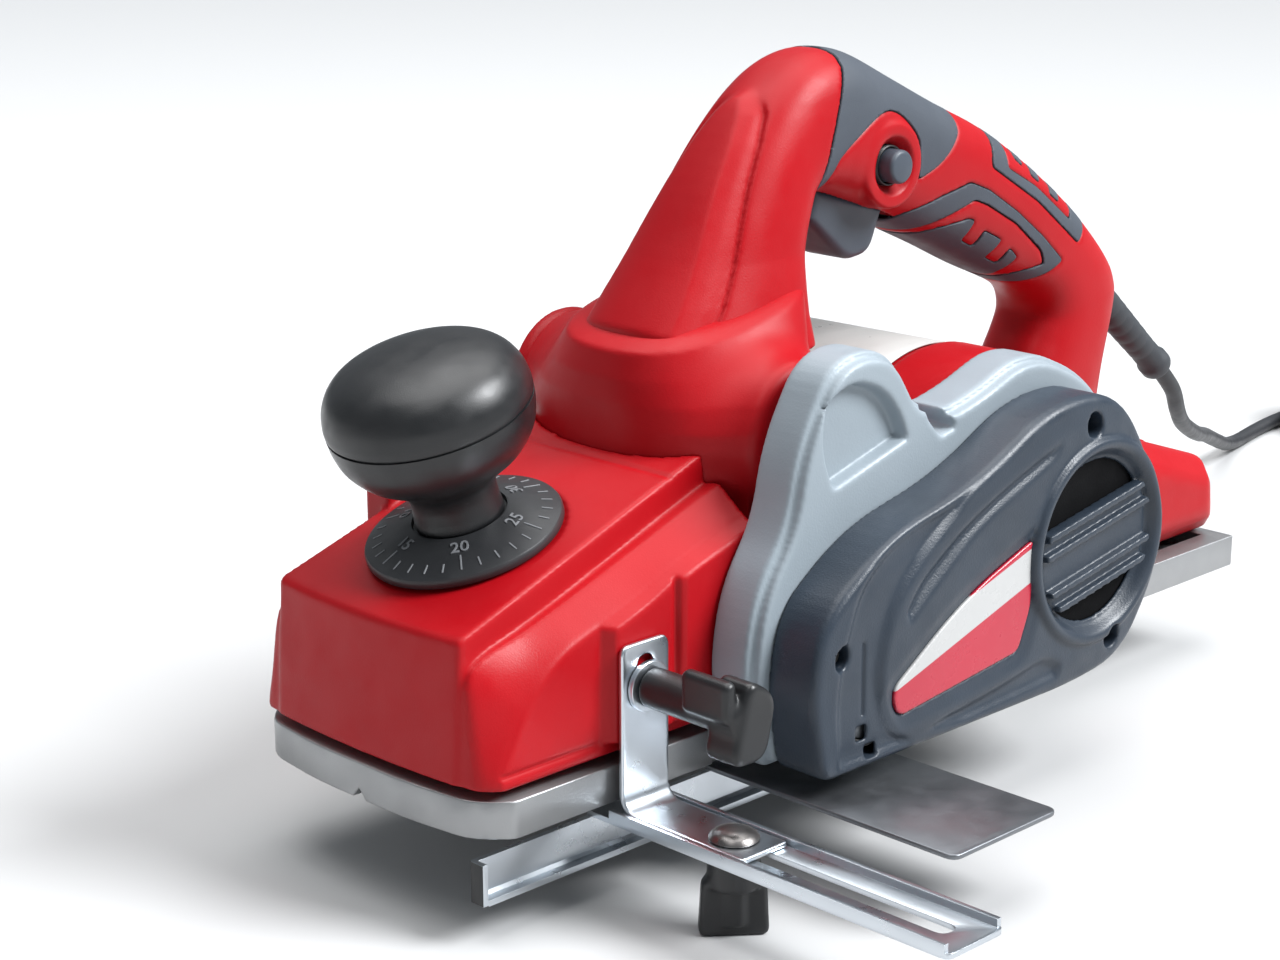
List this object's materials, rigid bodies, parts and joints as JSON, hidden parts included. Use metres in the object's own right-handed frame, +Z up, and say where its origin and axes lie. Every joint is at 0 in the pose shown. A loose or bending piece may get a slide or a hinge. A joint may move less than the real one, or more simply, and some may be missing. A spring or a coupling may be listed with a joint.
{
  "type": "electric hand planer",
  "caption": "Corded electric hand planer with a loop handle, depth knob, belt-driven cutter drum under a rounded side cover, and an adjustable edge guide.",
  "frame": {"origin": "centre of the machine's bounding box (without the loose cord) at its base, under the edge guide's wing nut", "axes": "+X from the nose to the tail, +Z up, -Y towards the belt cover and the edge guide"},
  "size_m": [0.8026, 0.3164, 0.2463],
  "materials": {
    "red_plastic": "satin with fine texture",
    "slate_rubber": "matte soft grip",
    "slate_plastic": "satin",
    "black_plastic": "satin",
    "cover_plastic": "satin, blue grey",
    "badge": "plain white, gloss",
    "cast_alloy": "sand cast, painted light grey",
    "sole_alloy": "machined",
    "zinc_steel": "zinc plated",
    "dark_steel": "satin",
    "bright_steel": "ground",
    "belt_rubber": "matte",
    "copper": "turned",
    "brass": "satin",
    "lamination": "varnished",
    "cord_rubber": "matte"
  },
  "bodies": {
    "machine": {"base_casting": "sole_alloy", "drive_casting": "cast_alloy", "front_housing": "red_plastic", "turret_housing": "red_plastic", "motor_housing": "red_plastic", "tail_housing": "red_plastic", "rating_plate": "badge", "handle_shell_left": "red_plastic", "handle_shell_right": "red_plastic", "front_grip_wrap": "slate_rubber", "rear_grip_wrap": "slate_rubber", "switch_body": "black_plastic", "strain_relief": "cord_rubber", "belt_cover": "cover_plastic", "cover_badge": "badge", "cover_screw_1": "dark_steel", "cover_screw_2": "dark_steel", "cover_screw_3": "dark_steel", "drive_belt": "belt_rubber", "drum_bearing_near": "bright_steel", "drum_bearing_far": "bright_steel", "stator": "lamination", "motor_bearing_near": "bright_steel", "motor_bearing_far": "bright_steel", "brush_holder_front": "brass", "brush_holder_rear": "brass", "power_cord": "cord_rubber", "cord_coil": "cord_rubber", "plug_body": "cord_rubber", "plug_pin_1": "brass", "plug_pin_2": "brass"},
    "shoe": {"front_shoe": "sole_alloy"},
    "knob": {"depth_knob": "black_plastic", "depth_dial": "black_plastic", "depth_spindle": "bright_steel"},
    "drum": {"cutter_drum": "cast_alloy", "blade_1": "bright_steel", "blade_2": "bright_steel", "blade_clamp_1": "dark_steel", "blade_clamp_2": "dark_steel", "drum_shaft": "bright_steel", "drum_pulley": "dark_steel"},
    "rotor": {"armature": "lamination", "commutator": "copper", "motor_shaft": "bright_steel", "cooling_fan": "black_plastic", "motor_pulley": "dark_steel"},
    "trigger_lever": {"trigger": "slate_plastic"},
    "lock": {"lock_button": "slate_plastic"},
    "bracket": {"guide_bracket": "zinc_steel", "carriage_bolt": "dark_steel"},
    "clamp": {"clamp_screw": "black_plastic", "clamp_washer": "zinc_steel"},
    "nut": {"wing_nut": "black_plastic"},
    "fence": {"guide_bar": "zinc_steel", "fence_rail": "zinc_steel", "guard_plate": "dark_steel"}
  },
  "joints": [
    {"name": "shoe_slide", "type": "slide", "parent": "machine", "child": "shoe", "axis": [-0.3007, 0, 0.9537], "range_m": [0, 0.00296]},
    {"name": "depth_knob_turn", "type": "hinge", "parent": "machine", "child": "knob", "pos_m": [-0.16866, 0.06775, 0.109], "axis": [-0.3007, 0, 0.9537], "range_deg": [0, 340]},
    {"name": "rotor_spin", "type": "hinge", "parent": "machine", "child": "rotor", "pos_m": [0.02134, 0.00925, 0.088], "axis": [0, 1, 0], "continuous": true},
    {"name": "drum_spin", "type": "hinge", "parent": "machine", "child": "drum", "pos_m": [-0.08666, 0.00925, 0.058], "axis": [0, 1, 0], "continuous": true},
    {"name": "trigger_press", "type": "hinge", "parent": "machine", "child": "trigger_lever", "pos_m": [0.02034, 0.06775, 0.197], "axis": [0, 1, 0], "range_deg": [0, 6], "stiffness_Nm_per_rad": 1.5, "springref_deg": -6.88},
    {"name": "lock_press", "type": "slide", "parent": "machine", "child": "lock", "axis": [0, 1, 0], "range_m": [0, 0.003], "stiffness_N_per_m": 400, "springref_m": -0.003},
    {"name": "bracket_slide", "type": "slide", "parent": "machine", "child": "bracket", "axis": [0, 0, 1], "range_m": [-0.007, 0]},
    {"name": "clamp_screw_turn", "type": "hinge", "parent": "machine", "child": "clamp", "pos_m": [-0.15116, 0.00925, 0.071], "axis": [0, 1, 0], "continuous": true},
    {"name": "wing_nut_turn", "type": "hinge", "parent": "bracket", "child": "nut", "pos_m": [-0.15116, -0.03375, 0.013], "axis": [0, 0, 1], "continuous": true},
    {"name": "fence_slide", "type": "slide", "parent": "bracket", "child": "fence", "axis": [0, 1, 0], "range_m": [0, 0.075]}
  ],
  "couplings": [
    {"joint": "depth_knob_turn", "follows": "shoe_slide", "rad_per_m": 2000},
    {"joint": "drum_spin", "follows": "rotor_spin", "ratio": 1.16}
  ]
}
